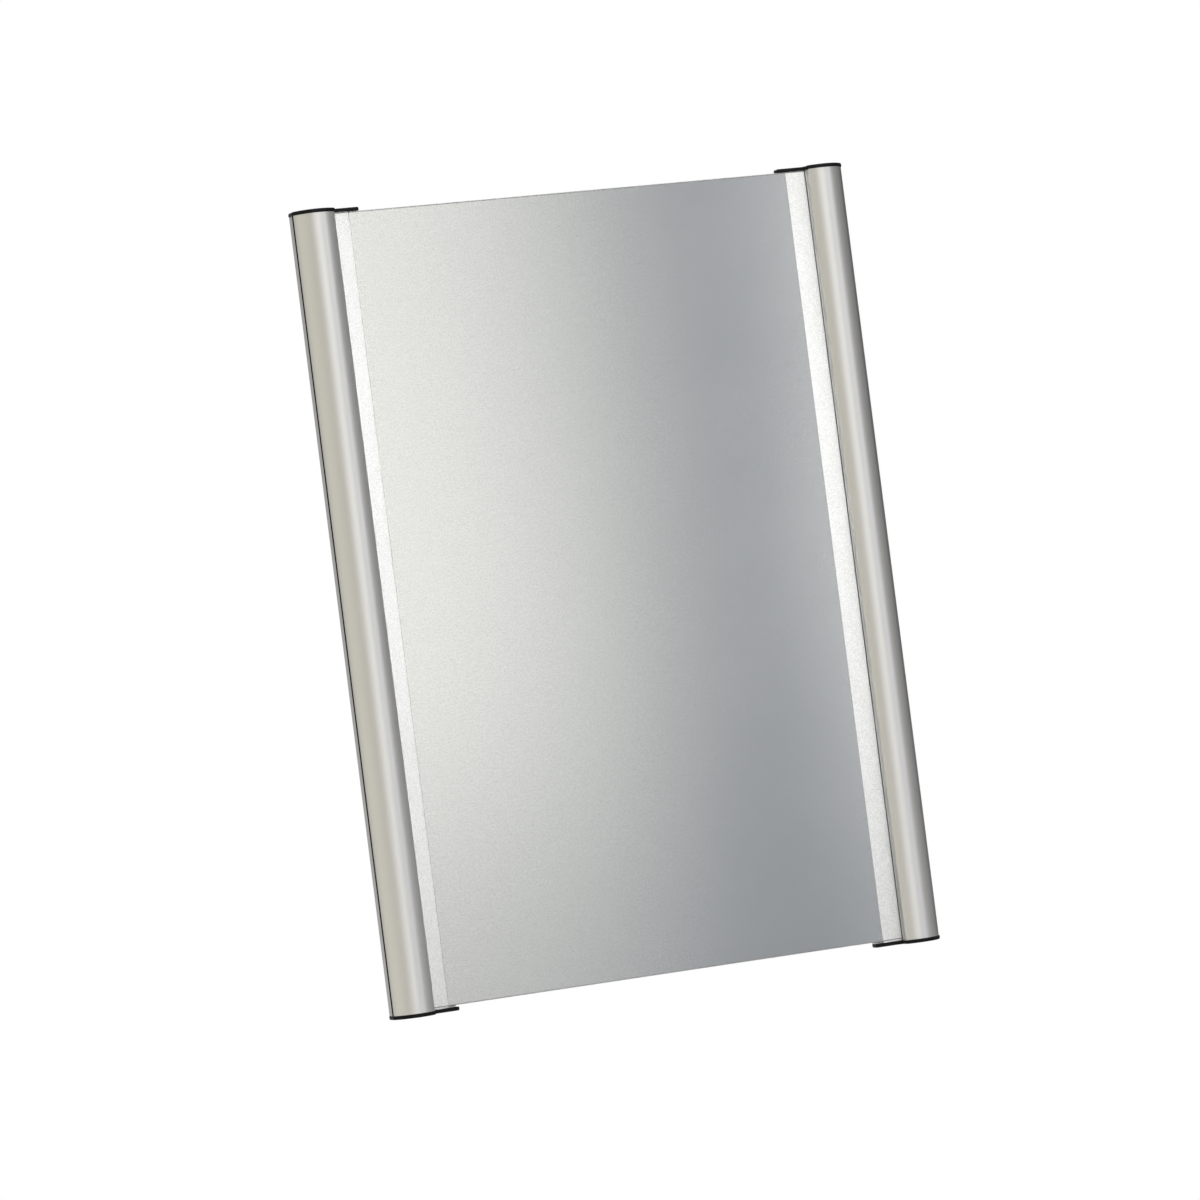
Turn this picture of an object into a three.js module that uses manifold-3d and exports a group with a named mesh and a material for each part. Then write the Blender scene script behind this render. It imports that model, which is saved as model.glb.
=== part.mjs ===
// Door sign frame: two curved aluminium side profiles joined by a back plate,
// a clear matt cover that slides in the profiles, and moulded end caps.
// Millimetres. X runs across the sign, Z up it, and its front faces -Y.
// The origin is the middle of the wall plane that the mounting tapes stick to.

import * as THREE from 'three';
import { mergeVertices } from 'three/addons/utils/BufferGeometryUtils.js';
import Module from 'manifold-3d';

const wasm = await Module();
wasm.setup();

// Driving dimensions: the sheet that the frame shows
const INSERT_WIDTH = 210;
const INSERT_LENGTH = 297;
const EDGE_INSET = 5.75; // sheet's side edge to the frame's outer face
const TOP_GAP = 0.1; // plate and cover to the top of the profiles
const BOTTOM_GAP = 0.7; // the same at the bottom, the play that lets them slide

// Driving dimensions: the side profile's section
const HUMP_WIDTH = 15.1;
const OUTER_SHOULDER = 4.9; // height where the curved front starts, outside
const INNER_SHOULDER = 8.2; // height where the curved front ends, inside
const HUMP_BULGE = 4.1; // how far the curve rises over its chord
const WALL = 1.2;
const SHADOW_GROOVE_DEPTH = 0.6; // groove in the outer wall, under the curve's edge
const SHADOW_GROOVE_HEIGHT = 1.4;
const STRIP_WIDTH = 7.2; // flat flange that shows beside the curved front
const LEDGE_REACH = 3.5; // ledge that carries the plate
const LEDGE_THICKNESS = 1.0;
const RECESS_INSET = 2.0; // outer face to the tape recess
const RECESS_DEPTH = 1.2;
const RIB_WIDTH = 1.0;
const RIB_HEIGHT = 1.0;
const RIB_GAP = 0.3;

// Driving dimensions: flat pieces
const PLATE_THICKNESS = 1.5;
const PLATE_SIDE_GAP = 0.1;
const BOND_THICKNESS = 0.2;
const BOND_INSET = 0.25;
const INSERT_GAP = 0.3; // room for a paper sheet under the cover
const COVER_THICKNESS = 0.8;
const COVER_FACE_GAP = 1.1; // cover's front to the foot of the lip
const TAPE_THICKNESS = 1.5;
const TAPE_WIDTH = 12;
const TAPE_SIDE_GAP = 0.5;
const TAPE_END_INSET = 10;

// Driving dimensions: end caps
const CAP_THICKNESS = 1.4;
const CAP_OVERHANG = 0.3;
const VALLEY_RADIUS = 1.5;
const PEG_LENGTH = 10;
const PEG_CLEARANCE = 0.2;
const PEG_INSET = 0.8;
const PEG_WALL = 1.2;

// Facets of round stretches, and the distance under which two points are one
const ARC_STEPS = 28;
const VALLEY_STEPS = 6;
const SAME_POINT = 1e-5;

// Derived places across the sign: u runs inward from the outer face
const overallWidth = INSERT_WIDTH + 2 * EDGE_INSET;
const halfLength = INSERT_LENGTH / 2;
const stripEnd = HUMP_WIDTH + STRIP_WIDTH;
const ledgeEnd = stripEnd + LEDGE_REACH;
const recessEnd = RECESS_INSET + TAPE_WIDTH + 2 * TAPE_SIDE_GAP;

// Derived heights: v runs forward from the profile's back
const tapeProud = TAPE_THICKNESS - RECESS_DEPTH;
const plateBack = LEDGE_THICKNESS + BOND_THICKNESS;
const stripTop = plateBack + PLATE_THICKNESS;
const coverBack = stripTop + INSERT_GAP;
const coverFront = coverBack + COVER_THICKNESS;
const lipFoot = coverFront + COVER_FACE_GAP;
const capFlat = coverFront + CAP_OVERHANG;

// Circle of the curved front, from its chord and its bulge
const chordRun = HUMP_WIDTH;
const chordRise = INNER_SHOULDER - OUTER_SHOULDER;
const chord = Math.hypot(chordRun, chordRise);
const humpRadius = (chord ** 2 / 4 + HUMP_BULGE ** 2) / (2 * HUMP_BULGE);
const chordToCentre = humpRadius - HUMP_BULGE;
const humpCentre = {
  u: HUMP_WIDTH / 2 + (chordRise / chord) * chordToCentre,
  v: (OUTER_SHOULDER + INNER_SHOULDER) / 2 - (chordRun / chord) * chordToCentre,
};

// Points [u, v] of a circle about the hump's centre, from one u to another
function humpArc(radius, fromU, toU) {
  const start = Math.acos((fromU - humpCentre.u) / radius);
  const end = Math.acos((toU - humpCentre.u) / radius);
  const points = [];
  for (let i = 0; i <= ARC_STEPS; i += 1) {
    const angle = start + ((end - start) * i) / ARC_STEPS;
    points.push([humpCentre.u + radius * Math.cos(angle), humpCentre.v + radius * Math.sin(angle)]);
  }
  return points;
}

// A shape in the XY plane from [u, v] points of the left (-1) or right (+1) side
function sideShape(side, points) {
  const place = ([u, v]) => new THREE.Vector2(side * (overallWidth / 2 - u), -(v + tapeProud));
  return new THREE.Shape(points.map(place));
}

function bar(shape, fromZ, toZ) {
  const geometry = new THREE.ExtrudeGeometry(shape, { depth: toZ - fromZ, bevelEnabled: false });
  return geometry.translate(0, 0, fromZ);
}

// A box between two X and two v limits that stops short of the profiles' ends
function slab(fromX, toX, fromV, toV, lowInset, topInset) {
  const length = INSERT_LENGTH - lowInset - topInset;
  const geometry = new THREE.BoxGeometry(toX - fromX, toV - fromV, length);
  const middle = [(fromX + toX) / 2, -((fromV + toV) / 2 + tapeProud), (lowInset - topInset) / 2];
  return geometry.translate(...middle);
}

// The same between two u limits on one side
function sideSlab(side, fromU, toU, fromV, toV, lowInset, topInset) {
  const edges = [side * (overallWidth / 2 - fromU), side * (overallWidth / 2 - toU)];
  return slab(Math.min(...edges), Math.max(...edges), fromV, toV, lowInset, topInset);
}

// Booleans
function solid(geometry) {
  const bare = geometry.clone();
  bare.deleteAttribute('normal');
  bare.deleteAttribute('uv');
  const merged = mergeVertices(bare, SAME_POINT);
  return new wasm.Manifold(new wasm.Mesh({
    numProp: 3,
    vertProperties: new Float32Array(merged.attributes.position.array),
    triVerts: new Uint32Array(merged.index.array),
  }));
}

function geometryOf(manifold) {
  const mesh = manifold.getMesh();
  const geometry = new THREE.BufferGeometry();
  geometry.setAttribute('position', new THREE.BufferAttribute(mesh.vertProperties, 3));
  geometry.setIndex(new THREE.BufferAttribute(mesh.triVerts, 1));
  return geometry;
}

// Side profile: one extrusion with the curved front, the slot under its lip,
// the flat strip, the plate's ledge and a recess at the back for mounting tape
function sideProfile(side) {
  const ribStart = EDGE_INSET - RIB_GAP - RIB_WIDTH;
  const ribEnd = EDGE_INSET - RIB_GAP;
  const lipInside = HUMP_WIDTH - WALL;
  const points = [
    [0, 0],
    [0, OUTER_SHOULDER - SHADOW_GROOVE_HEIGHT],
    [SHADOW_GROOVE_DEPTH, OUTER_SHOULDER - SHADOW_GROOVE_HEIGHT],
    [SHADOW_GROOVE_DEPTH, OUTER_SHOULDER],
    ...humpArc(humpRadius, 0, HUMP_WIDTH),
    [HUMP_WIDTH, lipFoot],
    [lipInside, lipFoot],
    ...humpArc(humpRadius - WALL, lipInside, WALL),
    [WALL, stripTop],
    [ribStart, stripTop],
    [ribStart, stripTop + RIB_HEIGHT],
    [ribEnd, stripTop + RIB_HEIGHT],
    [ribEnd, stripTop],
    [stripEnd, stripTop],
    [stripEnd, LEDGE_THICKNESS],
    [ledgeEnd, LEDGE_THICKNESS],
    [ledgeEnd, 0],
    [recessEnd, 0],
    [recessEnd, RECESS_DEPTH],
    [RECESS_INSET, RECESS_DEPTH],
    [RECESS_INSET, 0],
  ];
  return bar(sideShape(side, points), -halfLength, halfLength);
}

// End cap: a plate that closes the profile's end, with a hollow peg in the hump
function capOutline() {
  const outer = -CAP_OVERHANG;
  const inner = HUMP_WIDTH + CAP_OVERHANG;
  const valley = [];
  for (let i = 0; i <= VALLEY_STEPS; i += 1) {
    const angle = Math.PI + (Math.PI / 2) * (i / VALLEY_STEPS);
    const u = inner + VALLEY_RADIUS * (1 + Math.cos(angle));
    const v = capFlat + VALLEY_RADIUS * (1 + Math.sin(angle));
    valley.push([u, v]);
  }
  return [
    [outer, 0],
    ...humpArc(humpRadius + CAP_OVERHANG, outer, inner),
    ...valley,
    [ledgeEnd + CAP_OVERHANG, capFlat],
    [ledgeEnd + CAP_OVERHANG, 0],
  ];
}

function pegOutline(inset) {
  const left = WALL + PEG_INSET + inset;
  const right = HUMP_WIDTH - WALL - PEG_CLEARANCE - inset;
  const foot = coverFront + 2 * PEG_CLEARANCE + inset;
  const radius = humpRadius - WALL - PEG_CLEARANCE - inset;
  const footReach = Math.sqrt(radius ** 2 - (foot - humpCentre.v) ** 2);
  const start = Math.max(left, humpCentre.u - footReach);
  const arc = humpArc(radius, right, start);
  const endsOnFoot = arc[ARC_STEPS][1] - foot < SAME_POINT;
  return endsOnFoot ? [[right, foot], ...arc] : [[right, foot], ...arc, [start, foot]];
}

function endCap(side, end) {
  const face = end * halfLength;
  const outside = face + end * CAP_THICKNESS;
  const pegTip = face - end * PEG_LENGTH;
  const span = (shape, a, b) => solid(bar(shape, Math.min(a, b), Math.max(a, b)));
  const plate = span(sideShape(side, capOutline()), face, outside);
  const peg = span(sideShape(side, pegOutline(0)), pegTip, face + (end * CAP_THICKNESS) / 2);
  const hollow = span(sideShape(side, pegOutline(PEG_WALL)), pegTip - end * CAP_THICKNESS, face);
  return geometryOf(plate.add(peg.subtract(hollow)));
}

// Flat pieces
const sheetEnds = [BOTTOM_GAP, TOP_GAP];
const tapeEnds = [TAPE_END_INSET, TAPE_END_INSET];

function backPlate() {
  const reach = overallWidth / 2 - stripEnd - PLATE_SIDE_GAP;
  return slab(-reach, reach, plateBack, stripTop, ...sheetEnds);
}

function frontCover() {
  return slab(-INSERT_WIDTH / 2, INSERT_WIDTH / 2, coverBack, coverFront, ...sheetEnds);
}

function plateTape(side) {
  const from = stripEnd + PLATE_SIDE_GAP + BOND_INSET;
  return sideSlab(side, from, ledgeEnd - BOND_INSET, LEDGE_THICKNESS, plateBack, ...sheetEnds);
}

function mountingTape(side) {
  const from = RECESS_INSET + TAPE_SIDE_GAP;
  return sideSlab(side, from, from + TAPE_WIDTH, -tapeProud, RECESS_DEPTH, ...tapeEnds);
}

// Materials
const finishes = {
  anodised: { color: 0xd9d8d3, roughness: 0.32, metalness: 1.0 },
  plate: { color: 0xc9c9c6, roughness: 0.45, metalness: 1.0 },
  cover: { color: 0xf4f5f5, roughness: 0.4, metalness: 0.0, transparent: true, opacity: 0.3 },
  cap: { color: 0x121213, roughness: 0.35, metalness: 0.0 },
  bond: { color: 0xe6e4da, roughness: 0.6, metalness: 0.0 },
  foam: { color: 0xf2f1ec, roughness: 0.9, metalness: 0.0 },
};

const sign = new THREE.Group();

function addPiece(name, geometry, finish) {
  const mesh = new THREE.Mesh(geometry, new THREE.MeshStandardMaterial(finishes[finish]));
  mesh.name = name;
  sign.add(mesh);
}

addPiece('back_plate', backPlate(), 'plate');
addPiece('front_cover', frontCover(), 'cover');
for (const [sideName, side] of [['left', -1], ['right', 1]]) {
  addPiece(`${sideName}_side_profile`, sideProfile(side), 'anodised');
  addPiece(`${sideName}_plate_tape`, plateTape(side), 'bond');
  addPiece(`${sideName}_mounting_tape`, mountingTape(side), 'foam');
  for (const [endName, end] of [['top', 1], ['bottom', -1]]) {
    addPiece(`${endName}_${sideName}_end_cap`, endCap(side, end), 'cap');
  }
}

export default sign;
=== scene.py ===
"""Door sign frame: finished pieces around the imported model, and a plain studio for them."""

import math

import bmesh
import bpy
from bpy.props import FloatProperty, FloatVectorProperty, PointerProperty
from mathutils import Matrix, Vector


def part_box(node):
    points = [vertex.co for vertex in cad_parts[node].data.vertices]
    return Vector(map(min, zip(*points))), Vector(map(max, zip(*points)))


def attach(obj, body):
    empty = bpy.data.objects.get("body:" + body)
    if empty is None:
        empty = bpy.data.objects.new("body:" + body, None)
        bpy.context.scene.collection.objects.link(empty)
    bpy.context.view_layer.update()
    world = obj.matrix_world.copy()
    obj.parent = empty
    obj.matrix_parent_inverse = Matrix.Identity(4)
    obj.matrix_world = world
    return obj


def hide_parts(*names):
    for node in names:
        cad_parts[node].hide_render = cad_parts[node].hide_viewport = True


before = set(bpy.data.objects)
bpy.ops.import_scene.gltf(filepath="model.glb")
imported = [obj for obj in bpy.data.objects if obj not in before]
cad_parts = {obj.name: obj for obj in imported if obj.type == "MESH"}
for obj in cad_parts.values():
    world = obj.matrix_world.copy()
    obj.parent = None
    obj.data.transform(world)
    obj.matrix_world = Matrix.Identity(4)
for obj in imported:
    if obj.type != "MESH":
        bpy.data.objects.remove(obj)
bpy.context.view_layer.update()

bl_info = {
    "name": "Door sign frame",
    "version": (1, 0, 0),
    "blender": (4, 5, 0),
    "location": "View3D > Sidebar > Door sign",
    "description": "Builds the finished pieces of a slim door sign frame and a studio for it",
    "category": "Object",
}

SIDES = (("left", -1), ("right", 1))
ENDS = (("top", 1), ("bottom", -1))
CREASE_ANGLE = math.radians(32)
LEAST_TURN = math.radians(25)
CORNER_REACH = 0.45
ARC_STEPS = 64
CORNER_STEPS = 4
RIM_STEPS = 4
VALLEY_STEPS = 10
ROUND_STEPS = 96

PROFILE_LOW, PROFILE_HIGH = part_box("left_side_profile")
CAP_LOW, CAP_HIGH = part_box("top_left_end_cap")
HALF_WIDTH = -PROFILE_LOW.x
HALF_LENGTH = PROFILE_HIGH.z
BACK_GAP = -PROFILE_HIGH.y
LEDGE_END = PROFILE_HIGH.x - PROFILE_LOW.x


# Sizes and finishes that a user would change


def length(name, description, default):
    """A length in metres."""
    return FloatProperty(
        name=name,
        description=description,
        default=default,
        unit="LENGTH",
        subtype="DISTANCE",
        precision=5,
    )


def share(name, description, default):
    """A number from 0 to 1."""
    return FloatProperty(
        name=name, description=description, default=default, min=0.0, max=1.0, subtype="FACTOR"
    )


def power(name, description, default):
    """A lamp's power in watts."""
    return FloatProperty(name=name, description=description, default=default, min=0.0, unit="POWER")


def colour(name, description, default):
    """A linear colour."""
    return FloatVectorProperty(
        name=name, description=description, default=default, min=0.0, max=1.0, size=3, subtype="COLOR"
    )


class ProfileSizes(bpy.types.PropertyGroup):
    """Section of the extruded side profiles, measured from their outer face and back."""

    hump_width: length("Hump width", "Outer face to the inner lip", 0.0151)
    outer_shoulder: length("Outer shoulder", "Height where the curve starts outside", 0.0049)
    inner_shoulder: length("Inner shoulder", "Height where the curve ends inside", 0.0082)
    hump_bulge: length("Hump bulge", "Rise of the curve over its chord", 0.0041)
    wall: length("Wall", "Thickness of the curved wall", 0.0012)
    groove_depth: length("Groove depth", "Depth of the groove under the curve's outer edge", 0.0006)
    groove_height: length("Groove height", "Height of that groove", 0.0014)
    lip_foot: length("Lip foot", "Height of the lip's lower edge", 0.0049)
    strip_end: length("Strip end", "Outer face to the end of the flat strip", 0.02235)
    strip_height: length("Strip height", "Back to the flat strip", 0.0027)
    ledge_height: length("Ledge height", "Thickness of the plate's ledge", 0.001)
    recess_start: length("Recess start", "Outer face to the tape recess", 0.002)
    recess_end: length("Recess end", "Outer face to the recess's far side", 0.015)
    recess_depth: length("Recess depth", "Depth of the tape recess", 0.0012)
    rib_start: length("Rib start", "Outer face to the cover's stop rib", 0.00445)
    rib_end: length("Rib end", "Outer face to the rib's far side", 0.00545)
    rib_top: length("Rib top", "Height of the stop rib", 0.0037)
    corner_round: length("Corner round", "Radius on the section's corners", 0.00008)
    edge_round: length("Edge round", "Radius on the edges that show", 0.0003)
    saw_break: length("Saw break", "Broken edge at the sawn ends", 0.00006)


class CapSizes(bpy.types.PropertyGroup):
    """Moulded end caps and their pegs."""

    overhang: length("Overhang", "How far a cap stands past the profile", 0.0003)
    flat_height: length("Flat height", "Height of the low end of a cap", 0.0041)
    valley_radius: length("Valley radius", "Radius between the high and the low end", 0.0015)
    corner_round: length("Corner round", "Radius on the outline's corners", 0.0006)
    outer_rim: length("Outer rim", "Rounded rim on the outside", 0.0005)
    inner_rim: length("Inner rim", "Rounded rim against the profile", 0.0001)
    peg_start: length("Peg start", "Outer face to the peg", 0.002)
    peg_end: length("Peg end", "Outer face to the peg's far side", 0.0137)
    peg_foot: length("Peg foot", "Height of the peg's flat side", 0.0042)
    peg_play: length("Peg play", "Hump's outer curve to the peg's curve", 0.0014)
    peg_wall: length("Peg wall", "Wall of the hollow peg", 0.0012)
    peg_tip: length("Peg tip", "Lead-in at the peg's tip", 0.0004)
    crush_rib: length("Crush rib", "Height of the press-fit ribs on the peg", 0.00012)


class SheetSizes(bpy.types.PropertyGroup):
    """Edges of the flat pieces."""

    plate_corner: length("Plate corner", "Radius on the plate's corners", 0.0005)
    plate_edge: length("Plate edge", "Rounded edge of the plate", 0.00006)
    cover_corner: length("Cover corner", "Radius on the cover's corners", 0.001)
    cover_edge: length("Cover edge", "Rounded edge of the cover", 0.0001)
    bond_edge: length("Bond edge", "Rounded edge of the bonding tape", 0.00005)
    foam_corner: length("Foam corner", "Radius on the foam tape's corners", 0.0004)
    foam_edge: length("Foam edge", "Rounded edge of the foam tape", 0.00025)


class Finishes(bpy.types.PropertyGroup):
    """Colours and gloss of the pieces."""

    profile_colour: colour("Profile", "Satin anodised aluminium", (0.665, 0.66, 0.65))
    profile_roughness: share("Profile roughness", "Blur of the satin finish", 0.38)
    strip_colour: colour("Strip", "Pale matt flat beside the curve", (0.93, 0.93, 0.915))
    strip_roughness: share("Strip roughness", "Blur of the pale flat", 0.55)
    plate_colour: colour("Plate", "Grey anodised sheet", (0.745, 0.74, 0.715))
    plate_roughness: share("Plate roughness", "Blur of the sheet", 0.13)
    cover_colour: colour("Cover", "Clear plastic", (0.93, 0.93, 0.92))
    cover_haze: share("Cover haze", "How much each face of the matt cover hides", 0.035)
    cover_roughness: share("Cover roughness", "Blur of the matt front", 0.42)
    cap_colour: colour("Cap", "Black moulded plastic", (0.006, 0.006, 0.0065))
    cap_roughness: share("Cap roughness", "Blur of the moulded skin", 0.36)
    bond_colour: colour("Bond", "Thin transfer tape", (0.8, 0.79, 0.74))
    foam_colour: colour("Foam", "White foam tape", (0.87, 0.86, 0.82))


class Studio(bpy.types.PropertyGroup):
    """Camera, light and floor."""

    lens: FloatProperty(
        name="Lens", description="Focal length in millimetres on a 36 mm sensor", default=152.5
    )
    ring_radius: length("Ring radius", "Radius of the light ring", 2.0)
    ring_foot: length("Ring foot", "Height of the ring's lower rim", -1.9)
    ring_top: length("Ring top", "Height of the ring's upper rim", 2.6)
    floor_drop: length("Floor drop", "Floor below the sign's middle", 0.4)
    floor_radius: length("Floor radius", "Radius of the floor", 1.0)
    floor_colour: colour("Floor", "Plain pale floor", (0.86, 0.86, 0.86))
    fill: share("Fill", "Plain light from all round", 0.1)
    front_watts: power("Front lamp", "Power of the front lamp", 0.7)
    side_watts: power("Side lamp", "Power of the lamp at the right", 2.1)
    rear_watts: power("Rear lamp", "Power of the rear lamp", 0.6)
    top_watts: power("Top lamp", "Power of the lamp over the floor", 60.0)


# Shader trees


def plug(tree, socket, value):
    """Link a wire to a socket, or set the socket's own value."""
    if isinstance(value, Wire):
        tree.links.new(value.socket, socket)
    elif socket.type == "RGBA" and len(value) == 3:
        socket.default_value = (*value, 1.0)
    else:
        socket.default_value = value


class Wire:
    """A socket in a shader tree that takes part in plain arithmetic."""

    def __init__(self, tree, socket):
        self.tree = tree
        self.socket = socket

    def combine(self, operation, first, second):
        """Add a Math node for two values or wires."""
        node = self.tree.nodes.new("ShaderNodeMath")
        node.operation = operation
        plug(self.tree, node.inputs[0], first)
        plug(self.tree, node.inputs[1], second)
        return Wire(self.tree, node.outputs[0])

    def __add__(self, other):
        return self.combine("ADD", self, other)

    def __radd__(self, other):
        return self.combine("ADD", other, self)

    def __sub__(self, other):
        return self.combine("SUBTRACT", self, other)

    def __rsub__(self, other):
        return self.combine("SUBTRACT", other, self)

    def __mul__(self, other):
        return self.combine("MULTIPLY", self, other)

    def __truediv__(self, other):
        return self.combine("DIVIDE", self, other)

    def __pow__(self, other):
        return self.combine("POWER", self, other)

    def __abs__(self):
        return self.combine("ABSOLUTE", self, 0.0)

    def __or__(self, other):
        return self.combine("MAXIMUM", self, other)


class Finish:
    """A shader tree whose nodes are added by type."""

    def __init__(self, tree):
        self.tree = tree
        tree.nodes.clear()

    def add(self, kind, settings=None, inputs=None, output=0):
        """Add any node: its settings first, then its sockets; returns one of its outputs."""
        node = self.tree.nodes.new(kind)
        for name, value in (settings or {}).items():
            if name == "stops":
                set_stops(node.color_ramp, value)
            else:
                setattr(node, name, value)
        for name, value in (inputs or {}).items():
            plug(self.tree, node.inputs[name], value)
        return Wire(self.tree, node.outputs[output])

    def surface(self, wire, kind="ShaderNodeOutputMaterial"):
        """Add the output node and make a shader the tree's surface."""
        node = self.tree.nodes.new(kind)
        plug(self.tree, node.inputs["Surface"], wire)

    def place(self):
        """Position on the piece, in metres."""
        return self.add("ShaderNodeTexCoord", output="Object")

    def stretched(self, scale):
        """Position on the piece, scaled on each axis."""
        return self.add(
            "ShaderNodeVectorMath", {"operation": "MULTIPLY"}, {0: self.place(), 1: scale}
        )

    def noise(self, size, detail=2.0, rough=0.5, stretch=None):
        """Grain of a given size in metres, from 0 to 1."""
        vector = self.stretched(stretch) if stretch else self.place()
        sockets = {"Vector": vector, "Scale": 1.0 / size, "Detail": detail, "Roughness": rough}
        return self.add("ShaderNodeTexNoise", None, sockets, "Fac")

    def step(self, value, start, end):
        """A smooth step of a value, from 0 at start to 1 at end."""
        sockets = {"Value": value, "From Min": start, "From Max": end}
        return self.add("ShaderNodeMapRange", {"interpolation_type": "SMOOTHSTEP"}, sockets, "Result")

    def past(self, value, edge, border):
        """1 where a value is past an edge, faded over a border that is measured from the edge."""
        return self.step(value, edge + border[0], edge + border[1])

    def before(self, value, edge, border):
        """1 where a value is short of an edge, faded in the same way."""
        return 1.0 - self.past(value, edge, border)

    def mix(self, first, second, amount, blend="MIX"):
        """Blend two colours."""
        settings = {"data_type": "RGBA", "blend_type": blend}
        return self.add("ShaderNodeMix", settings, {0: amount, 6: first, 7: second}, 2)

    def varied(self, base, tints, texture):
        """A colour that a texture moves from its first tint to its second."""
        return self.mix(tinted(base, tints[0]), tinted(base, tints[1]), texture)

    def axes(self):
        """The three coordinates of the position on the piece."""
        vector = self.place()
        return [
            self.add("ShaderNodeSeparateXYZ", None, {"Vector": vector}, name) for name in ("X", "Y", "Z")
        ]

    def bump(self, height, strength, distance):
        """A normal that is tilted by a height."""
        sockets = {"Height": height, "Strength": strength, "Distance": distance}
        return self.add("ShaderNodeBump", None, sockets)

    def principled(self, **sockets):
        """The surface shader, with underscores for spaces in its socket names."""
        named = {name.replace("_", " "): value for name, value in sockets.items()}
        return self.add("ShaderNodeBsdfPrincipled", None, named)


def set_stops(ramp, stops):
    """Put stops of place and colour on a colour ramp."""
    while len(ramp.elements) < len(stops):
        ramp.elements.new(1.0)
    for element, (position, tone) in zip(ramp.elements, stops):
        element.position = position
        element.color = (*tone, 1.0)


def new_finish(name):
    """A new material and its empty shader tree."""
    material = bpy.data.materials.new(name)
    material.use_nodes = True
    return material, Finish(material.node_tree)


def tinted(base, factor):
    """A colour made lighter or darker."""
    return tuple(min(1.0, channel * factor) for channel in base)


def swing(texture, reach):
    """A texture as a swing about zero."""
    return (texture - 0.5) * reach


# Sizes of the textures, in metres
DIE_LINE = 0.0005
DIE_LINE_STRETCH = (1.0, 1.0, 0.004)
ETCH_GRAIN = 0.00016
HANDLING_PATCH = 0.03
PLATE_GRAIN = 0.0006
PLATE_CLOUD = 0.05
COVER_GRAIN = 0.0005
CAP_GRAIN = 0.00022
CAP_FLOW = 0.004
BOND_STREAK = 0.0008
BOND_STRETCH = (1.0, 1.0, 0.05)
FOAM_PORE = 0.00045
FOAM_CLOUD = 0.006

# Heights of the reliefs, in metres
EXTRUDED_RELIEF = 0.000004
FINE_RELIEF = 0.00001
FOAM_RELIEF = 0.00008

# First and second tint that a texture moves a colour between
PROFILE_TINTS = (0.985, 1.015)
STRIP_TINTS = (0.98, 1.02)
PLATE_TINTS = (0.985, 1.015)
COVER_TINTS = (0.98, 1.02)
CAP_TINTS = (0.8, 1.3)
BOND_TINTS = (0.9, 1.05)
FOAM_TINTS = (0.86, 1.04)
# Painted shade on the lip wall: a darker copy of the profile colour
LIP_PAINTED_SHADE = 0.7
# Painted shade in the slot under the lip: a darker copy of the profile colour
SLOT_PAINTED_SHADE = 0.45
# Painted shade in the groove under the curve's outer edge: a darker copy of the profile colour
GROOVE_PAINTED_SHADE = 0.15
# Painted shade on the cover's sawn edges: a darker copy of the cover colour
SAWN_PAINTED_SHADE = 0.45

# Borders of the areas on the profile and the cover, in metres from the edge that each follows
FLAT_SIDE = (-0.0007, -0.0005)
FLAT_FOOT = (-0.0006, -0.0004)
FLAT_TOP = (0.0002, 0.0005)
LEDGE_SIDE = (0.0, 0.0001)
LEDGE_TOP = (-0.0003, -0.0001)
GROOVE_FOOT = (-0.0001, 0.0)
GROOVE_TOP = (-0.0002, 0.0)
GROOVE_SIDE = (0.0, 0.0001)
SLOT_FOOT = (-0.0002, 0.0)
SLOT_TOP = (0.0001, 0.0003)
SLOT_SIDE = (0.0, 0.0002)
LIP_SIDE = (-0.0003, -0.0001)
LIP_FOOT = (0.0004, 0.001)
LIP_TOP = (-0.0008, -0.0002)
SAWN_LOW = (0.0002, 0.0004)
SAWN_HIGH = (-0.0004, -0.0002)

# Other settings of the finishes
DIE_SHARE = 0.3
PLATE_METAL = 0.95
CAP_SPECULAR = 0.12
SAWN_HAZE = 0.45
BOND_ROUGHNESS = 0.45
FOAM_ROUGHNESS = 0.8


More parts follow.
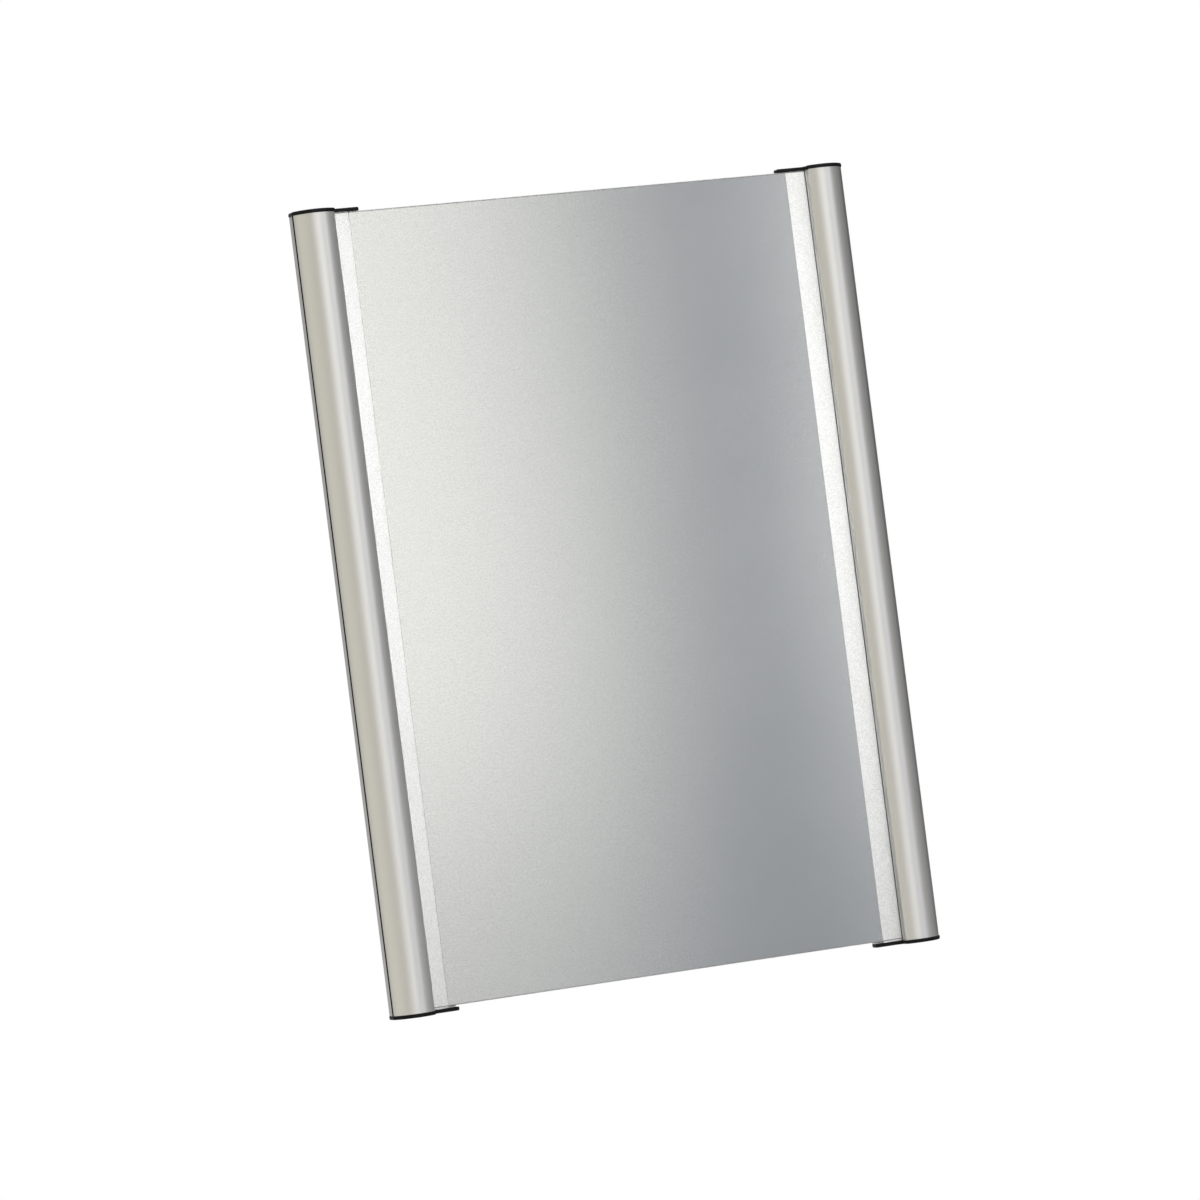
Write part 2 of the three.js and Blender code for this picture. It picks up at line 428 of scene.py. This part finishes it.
def anodised_finish(finishes, sizes):
    """Satin extrusion with die lines along its length, a pale etched flat, and painted shade on the lip
    wall, in the slot under the lip and in the groove under the curve.
    """
    material, tree = new_finish("satin_anodised_extrusion")
    die_lines = tree.noise(DIE_LINE, 2.0, 0.5, DIE_LINE_STRETCH)
    etch = tree.noise(ETCH_GRAIN, 1.0)
    handling = tree.noise(HANDLING_PATCH, 3.0)
    across, depth, _ = tree.axes()
    inward = HALF_WIDTH - abs(across)
    height = (0.0 - depth) - BACK_GAP
    groove_foot = sizes.outer_shoulder - sizes.groove_height

    on_flat = tree.past(inward, sizes.hump_width, FLAT_SIDE)
    on_ledge = tree.past(inward, sizes.strip_end, LEDGE_SIDE)
    on_ledge = on_ledge * tree.past(height, sizes.ledge_height, LEDGE_TOP)
    above = tree.past(height, sizes.strip_height, FLAT_FOOT)
    below = tree.before(height, sizes.strip_height, FLAT_TOP)
    flat = (on_flat * above * below) | on_ledge
    # Mask of the painted shade in the groove under the curve's outer edge
    groove_painted_shade = tree.past(height, groove_foot, GROOVE_FOOT)
    groove_painted_shade = groove_painted_shade * tree.before(height, sizes.outer_shoulder, GROOVE_TOP)
    groove_painted_shade = groove_painted_shade * tree.before(inward, sizes.groove_depth, GROOVE_SIDE)
    # Mask of the painted shade in the slot under the lip
    slot_painted_shade = tree.past(height, sizes.strip_height, SLOT_FOOT)
    slot_painted_shade = slot_painted_shade * tree.before(height, sizes.lip_foot, SLOT_TOP)
    slot_painted_shade = slot_painted_shade * tree.past(inward, sizes.wall, SLOT_SIDE) * (1.0 - on_flat)
    # Mask of the painted shade on the lip wall
    lip_painted_shade = tree.past(inward, sizes.hump_width, LIP_SIDE)
    lip_painted_shade = lip_painted_shade * tree.past(height, sizes.lip_foot, LIP_FOOT)
    lip_painted_shade = lip_painted_shade * tree.before(height, sizes.inner_shoulder, LIP_TOP)

    base = tree.varied(finishes.profile_colour, PROFILE_TINTS, die_lines)
    base = tree.mix(base, tree.varied(finishes.strip_colour, STRIP_TINTS, etch), flat)
    # Painted shade on the lip wall
    base = tree.mix(base, tinted(finishes.profile_colour, LIP_PAINTED_SHADE), lip_painted_shade)
    # Painted shade in the slot
    base = tree.mix(base, tinted(finishes.profile_colour, SLOT_PAINTED_SHADE), slot_painted_shade)
    # Painted shade in the groove
    base = tree.mix(base, tinted(finishes.profile_colour, GROOVE_PAINTED_SHADE), groove_painted_shade)
    satin = finishes.profile_roughness + swing(die_lines, 0.03) + swing(handling, 0.04)
    roughness = satin + flat * (finishes.strip_roughness - finishes.profile_roughness)
    relief = tree.bump(die_lines * DIE_SHARE + etch * (1.0 - DIE_SHARE), 0.1, EXTRUDED_RELIEF)
    shader = tree.principled(Base_Color=base, Metallic=1.0 - flat, Roughness=roughness, Normal=relief)
    tree.surface(shader)
    return material


def plate_finish(finishes):
    """Grey anodised sheet with a fine even grain."""
    material, tree = new_finish("grained_grey_sheet")
    grain = tree.noise(PLATE_GRAIN, 1.0, 0.5)
    clouds = tree.noise(PLATE_CLOUD, 2.0)
    base = tree.varied(finishes.plate_colour, PLATE_TINTS, grain)
    roughness = finishes.plate_roughness + swing(clouds, 0.02)
    metal = PLATE_METAL - swing(grain, 0.4)
    relief = tree.bump(grain, 0.4, FINE_RELIEF)
    shader = tree.principled(Base_Color=base, Metallic=metal, Roughness=roughness, Normal=relief)
    tree.surface(shader)
    return material


def cover_finish(finishes):
    """Clear plastic with a fine matt front, and sawn edges that are denser from their frosted cut and
    darker from painted shade.
    """
    material, tree = new_finish("matt_clear_plastic")
    grain = tree.noise(COVER_GRAIN, 1.0, 0.5)
    low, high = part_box("front_cover")
    across, _, up = tree.axes()
    within_sides = tree.before(abs(across), high.x, SAWN_HIGH)
    below_top = tree.before(up, high.z, SAWN_HIGH)
    sawn = 1.0 - tree.past(up, low.z, SAWN_LOW) * below_top * within_sides
    clear = tree.varied(finishes.cover_colour, COVER_TINTS, grain)
    # The sawn edges' darker colour is painted shade; their extra haze below is the frosted cut
    base = tree.mix(clear, tinted(finishes.cover_colour, SAWN_PAINTED_SHADE), sawn)
    haze = (finishes.cover_haze + swing(grain, 0.2)) | (sawn * SAWN_HAZE)
    roughness = finishes.cover_roughness + swing(grain, 0.1)
    relief = tree.bump(grain, 0.3, FINE_RELIEF)
    shader = tree.principled(Base_Color=base, Roughness=roughness, Alpha=haze, Normal=relief)
    tree.surface(shader)
    return material


def cap_finish(finishes):
    """Black moulded plastic with a fine eroded skin and faint flow marks."""
    material, tree = new_finish("black_moulded_plastic")
    skin = tree.noise(CAP_GRAIN, 2.0, 0.6)
    flow = tree.noise(CAP_FLOW, 2.0)
    base = tree.varied(finishes.cap_colour, CAP_TINTS, flow)
    roughness = finishes.cap_roughness + swing(skin, 0.12) + swing(flow, 0.08)
    relief = tree.bump(skin, 0.35, FINE_RELIEF)
    shader = tree.principled(
        Base_Color=base, Roughness=roughness, Specular_IOR_Level=CAP_SPECULAR, Normal=relief
    )
    tree.surface(shader)
    return material


def bond_finish(finishes):
    """Thin transfer tape with faint streaks of adhesive."""
    material, tree = new_finish("transfer_tape")
    streaks = tree.noise(BOND_STREAK, 3.0, 0.6, BOND_STRETCH)
    base = tree.varied(finishes.bond_colour, BOND_TINTS, streaks)
    relief = tree.bump(streaks, 0.3, FINE_RELIEF)
    shader = tree.principled(Base_Color=base, Roughness=BOND_ROUGHNESS + streaks * 0.15, Normal=relief)
    tree.surface(shader)
    return material


def foam_finish(finishes):
    """White closed-cell foam with small pores."""
    material, tree = new_finish("white_foam_tape")
    sockets = {"Vector": tree.place(), "Scale": 1.0 / FOAM_PORE}
    pores = tree.add("ShaderNodeTexVoronoi", None, sockets, "Distance")
    clouds = tree.noise(FOAM_CLOUD, 2.0)
    base = tree.varied(finishes.foam_colour, FOAM_TINTS, pores)
    relief = tree.bump(pores, 0.5, FOAM_RELIEF)
    shader = tree.principled(Base_Color=base, Roughness=FOAM_ROUGHNESS + clouds * 0.15, Normal=relief)
    tree.surface(shader)
    return material


# Outlines in the section plane and meshes swept from them


def circle_over(start, end, bulge):
    """Centre and radius of the arc that rises by a bulge over the chord between two points."""
    chord = end - start
    half = chord.length / 2
    radius = (half * half + bulge * bulge) / (2 * bulge)
    rise = Vector((-chord.y, chord.x)).normalized()
    return (start + end) / 2 - rise * (radius - bulge), radius


def hump_circle(sizes):
    """The circle of the curved front."""
    start = Vector((0.0, sizes.outer_shoulder))
    end = Vector((sizes.hump_width, sizes.inner_shoulder))
    return circle_over(start, end, sizes.hump_bulge)


def arc_over(centre, radius, start, end):
    """Points on the front of a circle, from one distance across to another."""
    first = math.acos((start - centre.x) / radius)
    last = math.acos((end - centre.x) / radius)
    angles = [first + (last - first) * i / ARC_STEPS for i in range(ARC_STEPS + 1)]
    return [centre + radius * Vector((math.cos(a), math.sin(a))) for a in angles]


def anticlockwise(loop):
    """The outline, turned so that its inside is on the left."""
    area = sum(a.x * b.y - b.x * a.y for a, b in zip(loop, loop[1:] + loop[:1]))
    return loop if area > 0 else loop[::-1]


def soften(loop, radius, special=None):
    """Round the sharp corners of an outline, some of them by a radius of their own."""
    rounded = []
    for i, corner in enumerate(loop):
        before = loop[i - 1] - corner
        after = loop[(i + 1) % len(loop)] - corner
        turn = math.pi - before.angle(after)
        if turn < LEAST_TURN:
            rounded.append(corner)
            continue
        own = (special or {}).get(i, radius)
        reach = min(
            own * math.tan(turn / 2), CORNER_REACH * before.length, CORNER_REACH * after.length
        )
        start = corner + before.normalized() * reach
        end = corner + after.normalized() * reach
        for k in range(CORNER_STEPS + 1):
            t = k / CORNER_STEPS
            rounded.append(start.lerp(corner, t).lerp(corner.lerp(end, t), t))
    return rounded


def inset(loop, depth):
    """The outline moved inwards."""
    moved = []
    for i, point in enumerate(loop):
        arriving = (point - loop[i - 1]).normalized()
        leaving = (loop[(i + 1) % len(loop)] - point).normalized()
        first = Vector((-arriving.y, arriving.x))
        second = Vector((-leaving.y, leaving.x))
        moved.append(point + (first + second) * (depth / (1 + first.dot(second))))
    return moved


def rounded_levels(start, end, start_round, end_round):
    """Places along a sweep, each with its inset, so that both rims come out rounded."""
    way = 1 if end > start else -1
    angles = [math.pi / 2 * k / RIM_STEPS for k in range(RIM_STEPS + 1)]
    opening = [
        (start + way * start_round * (1 - math.sin(a)), start_round * (1 - math.cos(a)))
        for a in angles[::-1]
    ]
    closing = [
        (end - way * end_round * (1 - math.sin(a)), end_round * (1 - math.cos(a)))
        for a in angles
    ]
    return opening + closing


def sweep(bm, outline, levels, place):
    """Skin an outline along its levels; returns the first and the last row of vertices."""
    rows = []
    for along, depth in levels:
        loop = inset(outline, depth) if depth else outline
        rows.append([bm.verts.new(place(point, along)) for point in loop])
    for low, high in zip(rows, rows[1:]):
        for i in range(len(low)):
            j = (i + 1) % len(low)
            bm.faces.new((low[i], low[j], high[j], high[i]))
    return rows[0], rows[-1]


def fill(bm, *rows):
    """Close the flat area that rows of vertices bound."""
    edges = [bm.edges.get((row[i - 1], row[i])) for row in rows for i in range(len(row))]
    made = bmesh.ops.triangle_fill(bm, use_beauty=True, edges=edges)
    if not any(isinstance(item, bmesh.types.BMFace) for item in made["geom"]):
        raise RuntimeError("an end face could not be closed")


def on_side(side):
    """Maps a section point and a height up the sign to a place on the left or right side."""
    return lambda point, up: Vector((side * (HALF_WIDTH - point.x), -(point.y + BACK_GAP), up))


def facing(point, depth):
    """Maps a point of the sign's face and a depth to a place."""
    return Vector((point.x, depth, point.y))


def add_piece(name, bm, material, body, node):
    """Turn a mesh into a piece that stands for a node and moves with a body."""
    bmesh.ops.recalc_face_normals(bm, faces=bm.faces)
    if not all(edge.is_manifold for edge in bm.edges):
        raise RuntimeError(f"{name} is not a closed mesh")
    for face in bm.faces:
        face.smooth = True
    for edge in bm.edges:
        edge.smooth = edge.calc_face_angle() < CREASE_ANGLE
    mesh = bpy.data.meshes.new(name)
    bm.to_mesh(mesh)
    bm.free()
    mesh.materials.append(material)
    piece = bpy.data.objects.new(name, mesh)
    bpy.context.scene.collection.objects.link(piece)
    flats = piece.modifiers.new("true_flats", "WEIGHTED_NORMAL")
    flats.mode = "FACE_AREA"
    flats.weight = 100
    flats.keep_sharp = True
    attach(piece, body)
    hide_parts(node)
    return piece


def add_slab(name, node, corner, edge, material, body):
    """A flat piece with rounded corners and edges, as large as its node."""
    low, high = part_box(node)
    outline = [
        Vector((low.x, low.z)),
        Vector((high.x, low.z)),
        Vector((high.x, high.z)),
        Vector((low.x, high.z)),
    ]
    outline = soften(outline, corner)
    bm = bmesh.new()
    back, front = sweep(bm, outline, rounded_levels(high.y, low.y, edge, edge), facing)
    fill(bm, back)
    fill(bm, front)
    return add_piece(name, bm, material, body, node)


# Operators, one for each kind of piece


class SIGN_OT_profiles(bpy.types.Operator):
    """Build the two extruded side profiles"""

    bl_idname = "sign.profiles"
    bl_label = "Side profiles"

    def execute(self, context):
        sizes = context.scene.sign_profile
        material = anodised_finish(context.scene.sign_finishes, sizes)
        section, edges = self.section(sizes)
        shown = {section.index(edge): sizes.edge_round for edge in edges}
        outline = anticlockwise(soften(section, sizes.corner_round, shown))
        for side_name, side in SIDES:
            bm = bmesh.new()
            levels = rounded_levels(-HALF_LENGTH, HALF_LENGTH, sizes.saw_break, sizes.saw_break)
            foot, top = sweep(bm, outline, levels, on_side(side))
            fill(bm, foot)
            fill(bm, top)
            node = f"{side_name}_side_profile"
            add_piece(f"{side_name}_extrusion", bm, material, "frame", node)
        return {"FINISHED"}

    def section(self, sizes):
        """The profile's outline, and those of its corners whose edges show."""
        centre, radius = hump_circle(sizes)
        lip_inside = sizes.hump_width - sizes.wall
        groove_foot = sizes.outer_shoulder - sizes.groove_height
        edges = [Vector((0.0, sizes.outer_shoulder)), Vector((sizes.hump_width, sizes.inner_shoulder))]
        corners = [
            (0.0, 0.0),
            (0.0, groove_foot),
            (sizes.groove_depth, groove_foot),
            (sizes.groove_depth, sizes.outer_shoulder),
            edges[0],
            *arc_over(centre, radius, sizes.edge_round / 2, sizes.hump_width - sizes.edge_round),
            edges[1],
            (sizes.hump_width, sizes.lip_foot),
            (lip_inside, sizes.lip_foot),
            *arc_over(centre, radius - sizes.wall, lip_inside, sizes.wall),
            (sizes.wall, sizes.strip_height),
            (sizes.rib_start, sizes.strip_height),
            (sizes.rib_start, sizes.rib_top),
            (sizes.rib_end, sizes.rib_top),
            (sizes.rib_end, sizes.strip_height),
            (sizes.strip_end, sizes.strip_height),
            (sizes.strip_end, sizes.ledge_height),
            (LEDGE_END, sizes.ledge_height),
            (LEDGE_END, 0.0),
            (sizes.recess_end, 0.0),
            (sizes.recess_end, sizes.recess_depth),
            (sizes.recess_start, sizes.recess_depth),
            (sizes.recess_start, 0.0),
        ]
        return [Vector(corner) for corner in corners], edges


class SIGN_OT_plate(bpy.types.Operator):
    """Build the grey sheet between the profiles"""

    bl_idname = "sign.plate"
    bl_label = "Back plate"

    def execute(self, context):
        sizes = context.scene.sign_sheets
        material = plate_finish(context.scene.sign_finishes)
        corner, edge = sizes.plate_corner, sizes.plate_edge
        add_slab("grey_sheet", "back_plate", corner, edge, material, "frame")
        return {"FINISHED"}


class SIGN_OT_cover(bpy.types.Operator):
    """Build the clear matt cover"""

    bl_idname = "sign.cover"
    bl_label = "Front cover"

    def execute(self, context):
        sizes = context.scene.sign_sheets
        material = cover_finish(context.scene.sign_finishes)
        corner, edge = sizes.cover_corner, sizes.cover_edge
        add_slab("clear_sheet", "front_cover", corner, edge, material, "cover")
        return {"FINISHED"}


# Corner radius of a peg, places of its press-fit ribs across it, and half their width at foot and crest
PEG_ROUND = 0.0003
RIB_PLACES = (0.3, 0.7)
RIB_FOOT = 0.0004
RIB_CREST = 0.0002


class SIGN_OT_caps(bpy.types.Operator):
    """Build the four moulded end caps with their hollow pegs"""

    bl_idname = "sign.caps"
    bl_label = "End caps"

    def execute(self, context):
        profile = context.scene.sign_profile
        sizes = context.scene.sign_caps
        material = cap_finish(context.scene.sign_finishes)
        outline = anticlockwise(soften(self.outline(profile, sizes), sizes.corner_round))
        peg = anticlockwise(soften(self.peg(profile, sizes, 0.0, sizes.crush_rib), PEG_ROUND))
        hollow = anticlockwise(soften(self.peg(profile, sizes, sizes.peg_wall, 0.0), PEG_ROUND))
        for end_name, end in ENDS:
            for side_name, side in SIDES:
                bm = self.mould(sizes, outline, peg, hollow, on_side(side), end)
                place = f"{end_name}_{side_name}"
                node = f"{place}_end_cap"
                add_piece(f"{place}_moulding", bm, material, f"{place}_cap", node)
        return {"FINISHED"}

    def outline(self, profile, sizes):
        """The cap's outline: the hump with its overhang, a valley, and the low end."""
        centre, radius = hump_circle(profile)
        outer = -sizes.overhang
        inner = profile.hump_width + sizes.overhang
        far = LEDGE_END + sizes.overhang
        middle = Vector((inner + sizes.valley_radius, sizes.flat_height + sizes.valley_radius))
        angles = [math.pi + math.pi / 2 * i / VALLEY_STEPS for i in range(VALLEY_STEPS + 1)]
        valley = [middle + sizes.valley_radius * Vector((math.cos(a), math.sin(a))) for a in angles]
        return [
            Vector((outer, 0.0)),
            *arc_over(centre, radius + sizes.overhang, outer, inner),
            *valley,
            Vector((far, sizes.flat_height)),
            Vector((far, 0.0)),
        ]

    def peg(self, profile, sizes, depth, rib):
        """The peg's outline, or its hollow's where a wall's depth is given."""
        centre, radius = hump_circle(profile)
        start = sizes.peg_start + depth
        end = sizes.peg_end - depth
        foot = sizes.peg_foot + depth
        points = arc_over(centre, radius - sizes.peg_play - depth, end, start)
        points.append(Vector((start, foot)))
        if rib:
            for place in RIB_PLACES:
                middle = start + (end - start) * place
                points.append(Vector((middle - RIB_FOOT, foot)))
                points.append(Vector((middle - RIB_CREST, foot - rib)))
                points.append(Vector((middle + RIB_CREST, foot - rib)))
                points.append(Vector((middle + RIB_FOOT, foot)))
        points.append(Vector((end, foot)))
        return points

    def mould(self, sizes, outline, peg, hollow, place, end):
        """One cap as a closed mesh."""
        bm = bmesh.new()
        face = end * HALF_LENGTH
        outside = end * CAP_HIGH.z
        tip = end * CAP_LOW.z
        levels = rounded_levels(face, outside, sizes.inner_rim, sizes.outer_rim)
        inner_rim, outer_rim = sweep(bm, outline, levels, place)
        lead_in = tip + end * sizes.peg_tip
        peg_base, peg_tip = sweep(bm, peg, [(face, 0.0), (lead_in, 0.0), (tip, sizes.peg_tip)], place)
        hollow_tip, hollow_floor = sweep(bm, hollow, [(tip, 0.0), (face, 0.0)], place)
        fill(bm, outer_rim)
        fill(bm, inner_rim, peg_base)
        fill(bm, peg_tip, hollow_tip)
        fill(bm, hollow_floor)
        return bm


# Corner radius of a bonding tape, as a multiple of its rounded edge
BOND_CORNER_SHARE = 4


class SIGN_OT_bond_tapes(bpy.types.Operator):
    """Build the thin tapes that hold the plate"""

    bl_idname = "sign.bond_tapes"
    bl_label = "Bonding tapes"

    def execute(self, context):
        edge = context.scene.sign_sheets.bond_edge
        corner = edge * BOND_CORNER_SHARE
        material = bond_finish(context.scene.sign_finishes)
        for side_name, _ in SIDES:
            node = f"{side_name}_plate_tape"
            add_slab(f"{side_name}_bond", node, corner, edge, material, "frame")
        return {"FINISHED"}


class SIGN_OT_foam_tapes(bpy.types.Operator):
    """Build the foam tapes that hold the sign on the wall"""

    bl_idname = "sign.foam_tapes"
    bl_label = "Foam tapes"

    def execute(self, context):
        sizes = context.scene.sign_sheets
        material = foam_finish(context.scene.sign_finishes)
        for side_name, _ in SIDES:
            node = f"{side_name}_mounting_tape"
            name = f"{side_name}_foam"
            add_slab(name, node, sizes.foam_corner, sizes.foam_edge, material, "frame")
        return {"FINISHED"}


# Stage


CAMERA_PLACE = (-0.6865, -1.7871, -0.0372)
CAMERA_RIGHT = (0.92815, -0.35031, -0.12577)
CAMERA_UP = (0.11175, -0.06005, 0.99192)
CAMERA_BACK = (-0.35503, -0.93471, -0.01659)

# Each lamp's name, place, width and height, spread in degrees, and the setting that holds its power
LAMPS = (
    ("front_lamp", (-0.25, -1.18, 0.2), (0.45, 0.45), 30, "front_watts"),
    ("side_lamp", (0.82, -1.26, 0.2), (0.2, 0.8), 180, "side_watts"),
    ("rear_lamp", (0.02, 1.2, 0.2), (0.45, 0.45), 28, "rear_watts"),
    ("top_lamp", (0.0, 0.2, 2.4), (1.5, 0.3), 180, "top_watts"),
)
LAMP_AIM = Vector((0.015, 0.0, 0.055))

# The floor's fade as shares of its radius, and its finish
FLOOR_FADE = (0.45, 0.98)
FLOOR_ROUGHNESS = 0.8
FLOOR_MOTTLE = 0.08
FLOOR_TINTS = (0.99, 1.01)

# Tones of the cards and of the lit panels round the ring, by degrees to the right of the sign's front
WARM = (1.03, 1.0, 0.87)
PLAIN = (1.0, 1.0, 0.99)
IVORY = (1.01, 1.0, 0.95)
COOL = (0.5, 0.8, 1.3)
RING_CARDS = (
    (-180, 0.55, PLAIN),
    (-150, 0.5, PLAIN),
    (-128, 0.3, PLAIN),
    (-113, 0.55, PLAIN),
    (-100, 0.82, WARM),
    (-88, 0.84, WARM),
    (-60, 0.76, WARM),
    (-40, 0.68, WARM),
    (-28, 0.54, WARM),
    (0, 0.5, PLAIN),
    (24, 0.1, COOL),
    (50, 0.28, PLAIN),
    (60, 0.42, PLAIN),
    (78, 0.28, PLAIN),
    (100, 0.26, PLAIN),
    (116, 0.06, PLAIN),
    (126, 0.08, PLAIN),
    (180, 0.55, PLAIN),
)
RING_PANELS = (
    (-180, 0.0, PLAIN),
    (-28, 0.0, PLAIN),
    (-16, 0.46, PLAIN),
    (-4, 0.78, IVORY),
    (7, 1.26, IVORY),
    (16, 0.96, IVORY),
    (19, 0.84, IVORY),
    (24, 0.0, PLAIN),
    (29.5, 1.25, PLAIN),
    (34, 1.75, PLAIN),
    (39, 1.4, PLAIN),
    (45, 0.25, PLAIN),
    (53, 0.0, PLAIN),
    (180, 0.0, PLAIN),
)
RING_STRENGTH = 1.8

# Heights between which the panels fade, how much they lose there, and a faint glow for the low band
LOW_BAND_TOP = (-0.32, 0.02)
LOW_BAND_FOOT = (-0.75, -0.38)
LOW_LOSS = 0.62
LOW_GLOW = (0.045, 0.045, 0.045)
HIGH_BAND = (0.12, 0.32)
HIGH_LOSS = 0.06


def ring_stops(tones):
    """Stops of a ramp that spans a whole turn."""
    return [(a / 360 + 0.5, tuple(level / RING_STRENGTH * c for c in tint)) for a, level, tint in tones]


class SIGN_OT_stage(bpy.types.Operator):
    """Set up the camera, the light and the floor"""

    bl_idname = "sign.stage"
    bl_label = "Stage"

    def execute(self, context):
        studio = context.scene.sign_studio
        context.scene.view_settings.view_transform = "Standard"
        self.add_camera(context.scene, studio)
        self.add_ring(studio)
        self.add_floor(studio)
        for name, place, size, spread, setting in LAMPS:
            self.add_lamp(name, Vector(place), size, spread, getattr(studio, setting))
        self.light_world(context.scene, studio)
        return {"FINISHED"}

    def add_camera(self, scene, studio):
        """The photograph's viewpoint."""
        data = bpy.data.cameras.new("viewpoint")
        data.lens = studio.lens
        camera = bpy.data.objects.new("viewpoint", data)
        turn = Matrix((CAMERA_RIGHT, CAMERA_UP, CAMERA_BACK)).transposed()
        camera.matrix_world = Matrix.Translation(CAMERA_PLACE) @ turn.to_4x4()
        scene.collection.objects.link(camera)
        scene.camera = camera

    def add_mesh(self, name, bm, material):
        """A mesh of the stage."""
        mesh = bpy.data.meshes.new(name)
        bm.to_mesh(mesh)
        bm.free()
        mesh.materials.append(material)
        thing = bpy.data.objects.new(name, mesh)
        bpy.context.scene.collection.objects.link(thing)
        return thing

    def add_ring(self, studio):
        """A ring of light panels and cards round the sign that only reflections show."""
        material, tree = new_finish("light_ring")
        across, depth, up = tree.axes()
        azimuth = across.combine("ARCTAN2", across, 0.0 - depth) / (2 * math.pi) + 0.5
        cards = tree.add("ShaderNodeValToRGB", {"stops": ring_stops(RING_CARDS)}, {"Fac": azimuth})
        panels = tree.add("ShaderNodeValToRGB", {"stops": ring_stops(RING_PANELS)}, {"Fac": azimuth})
        shaded = (1.0 - tree.step(up, *LOW_BAND_TOP)) * tree.step(up, *LOW_BAND_FOOT)
        bright = 1.0 - shaded * LOW_LOSS - tree.step(up, *HIGH_BAND) * HIGH_LOSS
        glow = tree.mix(tree.mix(cards, panels, bright, "ADD"), LOW_GLOW, shaded, "ADD")
        shader = tree.principled(
            Base_Color=(0, 0, 0),
            Specular_IOR_Level=0.0,
            Emission_Color=glow,
            Emission_Strength=RING_STRENGTH,
        )
        tree.surface(shader)
        bm = bmesh.new()
        angles = [2 * math.pi * i / ROUND_STEPS for i in range(ROUND_STEPS)]
        circle = [(studio.ring_radius * math.sin(a), studio.ring_radius * math.cos(a)) for a in angles]
        foot, top = [
            [bm.verts.new((x, y, z)) for x, y in circle] for z in (studio.ring_foot, studio.ring_top)
        ]
        for i in range(ROUND_STEPS):
            j = (i + 1) % ROUND_STEPS
            bm.faces.new((foot[i], foot[j], top[j], top[i]))
        ring = self.add_mesh("light_ring", bm, material)
        ring.visible_camera = False
        ring.visible_shadow = False
        ring.visible_diffuse = False

    def add_floor(self, studio):
        """A plain pale floor that fades out into the background."""
        material, tree = new_finish("pale_floor")
        across, depth, _ = tree.axes()
        distance = (across * across + depth * depth) ** 0.5 / studio.floor_radius
        solid = 1.0 - tree.step(distance, *FLOOR_FADE)
        mottle = tree.noise(FLOOR_MOTTLE, 2.0)
        base = tree.varied(studio.floor_colour, FLOOR_TINTS, mottle)
        shader = tree.principled(Base_Color=base, Roughness=FLOOR_ROUGHNESS, Alpha=solid)
        tree.surface(shader)
        bm = bmesh.new()
        bmesh.ops.create_circle(bm, cap_ends=True, segments=ROUND_STEPS, radius=studio.floor_radius)
        bmesh.ops.translate(bm, verts=bm.verts, vec=(0, 0, -studio.floor_drop))
        floor = self.add_mesh("pale_floor", bm, material)
        floor.visible_diffuse = False

    def add_lamp(self, name, place, size, spread, watts):
        """A soft lamp that is aimed at the sign and shows in no reflection."""
        data = bpy.data.lights.new(name, "AREA")
        data.shape = "RECTANGLE"
        data.size, data.size_y = size
        data.spread = math.radians(spread)
        data.energy = watts
        lamp = bpy.data.objects.new(name, data)
        turn = (place - LAMP_AIM).to_track_quat("Z", "Y").to_matrix()
        lamp.matrix_world = Matrix.Translation(place) @ turn.to_4x4()
        lamp.visible_glossy = False
        bpy.context.scene.collection.objects.link(lamp)

    def light_world(self, scene, studio):
        """White for what looks straight at it, and a plain fill for the rest."""
        world = bpy.data.worlds.new("white_surround")
        world.use_nodes = True
        tree = Finish(world.node_tree)
        seen = [
            tree.add("ShaderNodeLightPath", output=name)
            for name in ("Is Camera Ray", "Is Glossy Ray", "Is Transmission Ray")
        ]
        white = tree.add("ShaderNodeBackground", None, {"Color": (1, 1, 1), "Strength": 1.0})
        fill_light = tree.add("ShaderNodeBackground", None, {"Color": (1, 1, 1), "Strength": studio.fill})
        sight = seen[0] | seen[1] | seen[2]
        shader = tree.add("ShaderNodeMixShader", None, {0: sight, 1: fill_light, 2: white})
        tree.surface(shader, "ShaderNodeOutputWorld")
        scene.world = world


class SIGN_PT_sidebar(bpy.types.Panel):
    """Lists the steps that build the sign"""

    bl_label = "Door sign"
    bl_idname = "SIGN_PT_sidebar"
    bl_space_type = "VIEW_3D"
    bl_region_type = "UI"
    bl_category = "Door sign"

    def draw(self, context):
        for operator in OPERATORS:
            self.layout.operator(operator.bl_idname)
        for name in GROUPS:
            group = getattr(context.scene, name)
            box = self.layout.box()
            box.label(text=type(group).__name__)
            for prop in type(group).__annotations__:
                box.prop(group, prop)


OPERATORS = (
    SIGN_OT_stage,
    SIGN_OT_profiles,
    SIGN_OT_plate,
    SIGN_OT_cover,
    SIGN_OT_caps,
    SIGN_OT_bond_tapes,
    SIGN_OT_foam_tapes,
)
GROUPS = {
    "sign_profile": ProfileSizes,
    "sign_caps": CapSizes,
    "sign_sheets": SheetSizes,
    "sign_finishes": Finishes,
    "sign_studio": Studio,
}


def register():
    """Register the property groups, operators and panel."""
    for name, group in GROUPS.items():
        bpy.utils.register_class(group)
        setattr(bpy.types.Scene, name, PointerProperty(type=group))
    for operator in OPERATORS:
        bpy.utils.register_class(operator)
    bpy.utils.register_class(SIGN_PT_sidebar)


def unregister():
    """Undo register."""
    bpy.utils.unregister_class(SIGN_PT_sidebar)
    for operator in reversed(OPERATORS):
        bpy.utils.unregister_class(operator)
    for name, group in reversed(GROUPS.items()):
        delattr(bpy.types.Scene, name)
        bpy.utils.unregister_class(group)


def main():
    """Build everything in order."""
    register()
    bpy.ops.sign.stage()
    bpy.ops.sign.profiles()
    bpy.ops.sign.plate()
    bpy.ops.sign.cover()
    bpy.ops.sign.caps()
    bpy.ops.sign.bond_tapes()
    bpy.ops.sign.foam_tapes()
    bpy.context.view_layer.update()


if __name__ == "__main__":
    main()
